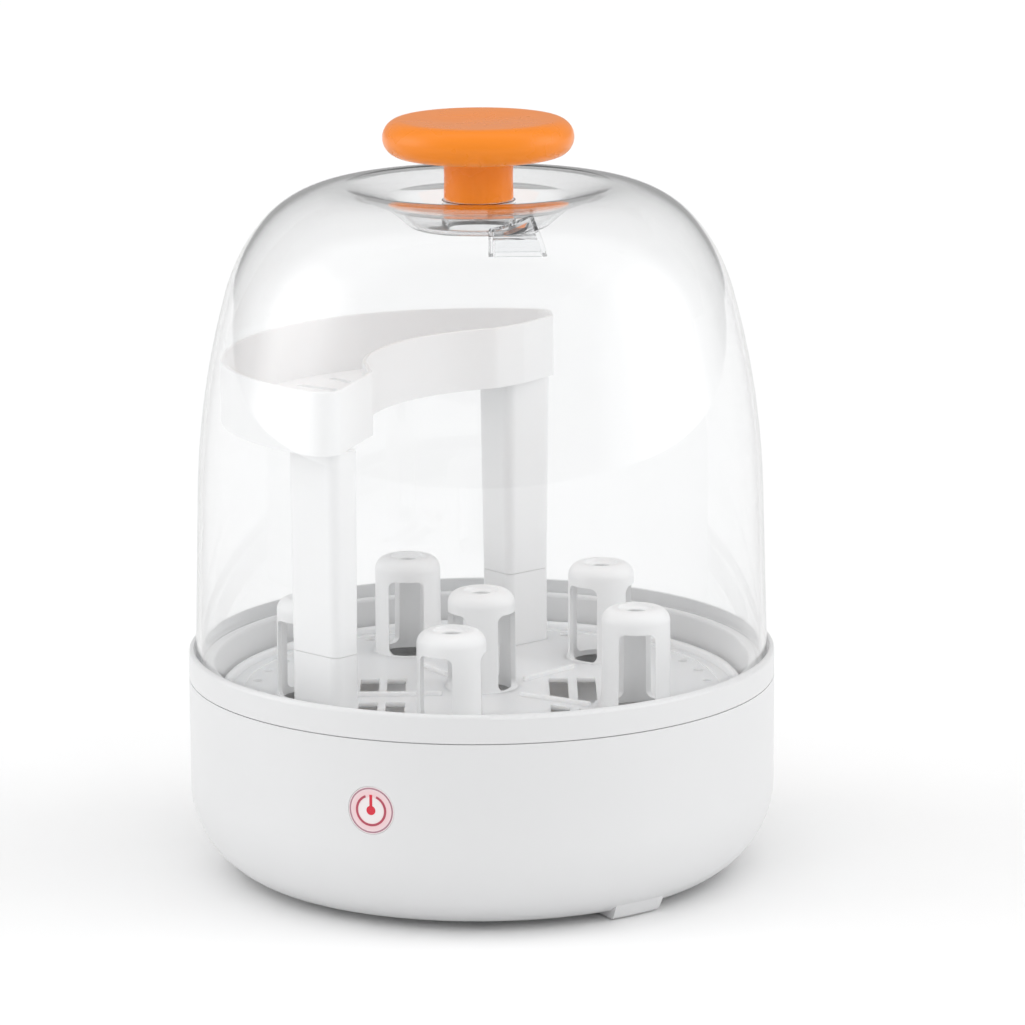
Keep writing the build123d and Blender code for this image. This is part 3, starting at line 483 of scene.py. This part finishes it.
outer_side = lid_path(0)
inner_side = lid_path(WALL)
floor_height = outer_side[-1][1]
boss = [
    (BOSS_RADIUS + 1.0, floor_height),
    (BOSS_RADIUS + 0.3, floor_height + 0.3),
    (BOSS_RADIUS, floor_height + 1.0),
    (BOSS_RADIUS, BOSS_TOP - 0.4),
    (BOSS_RADIUS - 0.4, BOSS_TOP),
    (2.7, BOSS_TOP),
    (2.7, BOSS_TOP - WALL),
    (BOSS_RADIUS - WALL - 0.4, BOSS_TOP - WALL),
    (BOSS_RADIUS - WALL, BOSS_TOP - WALL - 0.4),
    (BOSS_RADIUS - WALL, floor_height - WALL + 0.5),
    (BOSS_RADIUS - WALL + 0.5, floor_height - WALL),
]
dome = lathe("clear_dome", outer_side + boss + inner_side[::-1], 256)
outlet = slab("outlet", stadium(16.5, -26.8, 12.0, 3.4), floor_height - 10, floor_height + 20)
cut(dome, outlet)
dome.data.materials.append(clear_dome)
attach(dome, "lid")
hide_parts("dome_lid")

# ---------------------------------------------------------------- the knob

EDGE_CIRCLE = 36.4
EDGE_RADIUS = 8.7
EDGE_HEIGHT = LIP + 243.9
STEM_RADIUS = 16.4
STEM_FILLET = 4.2
KNOB_DIP = 1.6
KNOB_BORE_RADIUS = 4.0
KNOB_BORE_DEPTH = 14.0
knob_top = EDGE_HEIGHT + EDGE_RADIUS
knob_under = EDGE_HEIGHT - EDGE_RADIUS
knob_profile = [(0, knob_top - KNOB_DIP)]
for i in range(1, 12):
    r = EDGE_CIRCLE * i / 12
    knob_profile.append((r, knob_top - KNOB_DIP * (0.5 + 0.5 * cos(pi * r / EDGE_CIRCLE))))
knob_profile += arc((EDGE_CIRCLE, EDGE_HEIGHT), EDGE_RADIUS, 90, -90, 36)
knob_profile += arc((STEM_RADIUS + STEM_FILLET, knob_under - STEM_FILLET), STEM_FILLET, 90, 180, 10)
knob_profile += [
    (STEM_RADIUS - 0.2, (knob_under + BOSS_TOP) / 2),
    (STEM_RADIUS, BOSS_TOP + 0.6),
    (STEM_RADIUS - 0.6, BOSS_TOP),
    (KNOB_BORE_RADIUS, BOSS_TOP),
    (KNOB_BORE_RADIUS, BOSS_TOP + KNOB_BORE_DEPTH),
    (0, BOSS_TOP + KNOB_BORE_DEPTH),
]
knob = lathe("knob", knob_profile, 160)
knob.data.materials.append(orange)
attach(knob, "lid")
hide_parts("lid_knob")

# ---------------------------------------------------------------- the power button's printed mark

FACE_RADIUS = 139.9


def on_button(sideways, up, radius):
    """A point on the cylinder of the button's face: sideways to the right as seen from the front."""
    a = radians(BUTTON_ANGLE) + sideways / FACE_RADIUS
    return (radius * cos(a) * MM, radius * sin(a) * MM, (BUTTON_HEIGHT + up) * MM)


def printed(name, rows, closed, material):
    """A thin printed shape on the button, from pairs of (inner, outer) points along it."""
    mesh = bpy.data.meshes.new(name)
    bm = bmesh.new()
    foot, face = FACE_RADIUS - 0.05, FACE_RADIUS + 0.05
    rings = []
    for inner, outer in rows:
        corners = ((inner, foot), (outer, foot), (outer, face), (inner, face))
        rings.append([bm.verts.new(on_button(p[0], p[1], radius)) for p, radius in corners])
    pairs = list(zip(rings, rings[1:]))
    if closed:
        pairs.append((rings[-1], rings[0]))
    for one, other in pairs:
        for i in range(4):
            j = (i + 1) % 4
            bm.faces.new((one[i], one[j], other[j], other[i]))
    if not closed:
        bm.faces.new(rings[0])
        bm.faces.new(rings[-1])
    bmesh.ops.recalc_face_normals(bm, faces=bm.faces)
    bm.to_mesh(mesh)
    bm.free()
    piece = add_object(name, mesh)
    piece.data.materials.append(material)
    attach(piece, "button")
    return piece


def ring_rows(inner, outer, start, end, steps):
    """Rows of a ring's arc, angles in degrees from the right, anticlockwise."""
    rows = []
    for i in range(steps):
        a = radians(start + (end - start) * i / (steps - 1))
        direction = (cos(a), sin(a))
        rows.append([(direction[0] * r, direction[1] * r) for r in (inner, outer)])
    return rows


ink_rose = plastic("ink_rose", (0.40, 0.20, 0.25), 0.4, depth=0.12)
ink_maroon = plastic("ink_maroon", (0.44, 0.06, 0.10), 0.4, depth=0.12)
ink_red = plastic("ink_red", (0.66, 0.02, 0.045), 0.35, depth=0.12)
printed("mark_ring", ring_rows(10.0, 10.7, 0, 357, 120), True, ink_rose)
printed("mark_arc", ring_rows(6.4, 7.5, 112, 428, 90), False, ink_maroon)
printed("mark_bar", [[(-0.7, v), (0.7, v)] for v in (1.0, 4.0, 7.4)], False, ink_red)
printed("mark_dot", ring_rows(0.05, 2.2, 0, 354, 60), True, ink_red)


def button_look():
    """White plastic with a faint red glow between the mark's ring and arc."""
    material, tree, shader, _ = new_material("button_look")
    place = tree.nodes.new("ShaderNodeTexCoord")
    centre = tree.nodes.new("ShaderNodeVectorMath")
    centre.operation = "DISTANCE"
    centre.inputs[1].default_value = on_button(0, 0, FACE_RADIUS)
    tree.links.new(place.outputs["Object"], centre.inputs[0])
    stops = (
        (0.0, (0.80, 0.70, 0.70)),
        (0.25, (0.80, 0.76, 0.76)),
        (0.46, (0.80, 0.74, 0.74)),
        (0.55, (0.80, 0.55, 0.57)),
        (0.74, (0.80, 0.60, 0.62)),
        (0.92, (0.80, 0.76, 0.76)),
    )
    scaled = spread(tree, centre.outputs["Value"], 0, 1, 0, 0.0125)
    tree.links.new(ramp(tree, scaled, stops), shader.inputs["Base Color"])
    vector = place.outputs["Object"]
    tree.links.new(spread(tree, noise(tree, vector, 60), 0.26, 0.34), shader.inputs["Roughness"])
    relief(tree, shader, noise(tree, vector, 1400, 2), 0.000006, 0.6)
    return material


for material_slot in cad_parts["power_button"].material_slots:
    material_slot.material = button_look()

# ---------------------------------------------------------------- floor, light and surroundings

# The floor's half width in metres, the lamp above it, and the grey levels of the room round it.
FLOOR_REACH = 14.0
OVERHEAD_ENERGY = 0.93
OVERHEAD_SPREAD = radians(100)
OVERHEAD_TILT = radians(24)
SKY_STRENGTH = 2.86
FRONT_TO_BACK = ((0.0, 0.46), (0.3, 0.52), (0.42, 0.85), (0.58, 0.85), (0.7, 0.37), (1.0, 0.37))
MIDDLE_TO_SIDES = ((0.0, 0.42), (0.75, 0.5), (0.92, 1.0), (1.0, 1.0))

floor_mesh = bpy.data.meshes.new("floor")
floor_corners = [(x * FLOOR_REACH, y * FLOOR_REACH, 0) for x, y in ((-1, -1), (1, -1), (1, 1), (-1, 1))]
floor_mesh.from_pydata(floor_corners, [], [(0, 1, 2, 3)])
floor = bpy.data.objects.new("floor", floor_mesh)
bpy.context.collection.objects.link(floor)
paper = plastic("floor_paper", (0.93, 0.93, 0.93), 0.9, depth=0.01, grain=200, grain_depth=0.00002)
floor.data.materials.append(paper)

overhead = bpy.data.lights.new("overhead", "SUN")
overhead.energy = OVERHEAD_ENERGY
overhead.angle = OVERHEAD_SPREAD
overhead_holder = bpy.data.objects.new("overhead", overhead)
bpy.context.collection.objects.link(overhead_holder)
overhead_holder.rotation_euler = (OVERHEAD_TILT, 0, 0)
overhead_holder.visible_glossy = False
overhead_holder.visible_transmission = False

world = bpy.data.worlds.new("studio")
bpy.context.scene.world = world
world.use_nodes = True
sky = world.node_tree
sky.nodes.clear()
sky_output = sky.nodes.new("ShaderNodeOutputWorld")
background = sky.nodes.new("ShaderNodeBackground")
sky.links.new(background.outputs["Background"], sky_output.inputs["Surface"])
direction = sky.nodes.new("ShaderNodeTexCoord")
split = sky.nodes.new("ShaderNodeSeparateXYZ")
sky.links.new(direction.outputs["Generated"], split.inputs["Vector"])


def sky_levels(value, levels):
    """Grey levels along a value that runs from 0 to 1."""
    return ramp(sky, value, [(position, (level, level, level)) for position, level in levels])


# From the front to the back: a soft front, a bright middle, a dark back.
along = spread(sky, split.outputs["Y"], 0, 1, -1, 1)
depth_levels = sky_levels(along, FRONT_TO_BACK)
# Brighter walls to the left and right.
sideways = sky.nodes.new("ShaderNodeMath")
sideways.operation = "ABSOLUTE"
sky.links.new(split.outputs["X"], sideways.inputs[0])
side_levels = sky_levels(sideways.outputs["Value"], MIDDLE_TO_SIDES)
strength = spread(sky, side_levels, 0, SKY_STRENGTH, 0, 1)
sky.links.new(depth_levels, background.inputs["Color"])
sky.links.new(strength, background.inputs["Strength"])
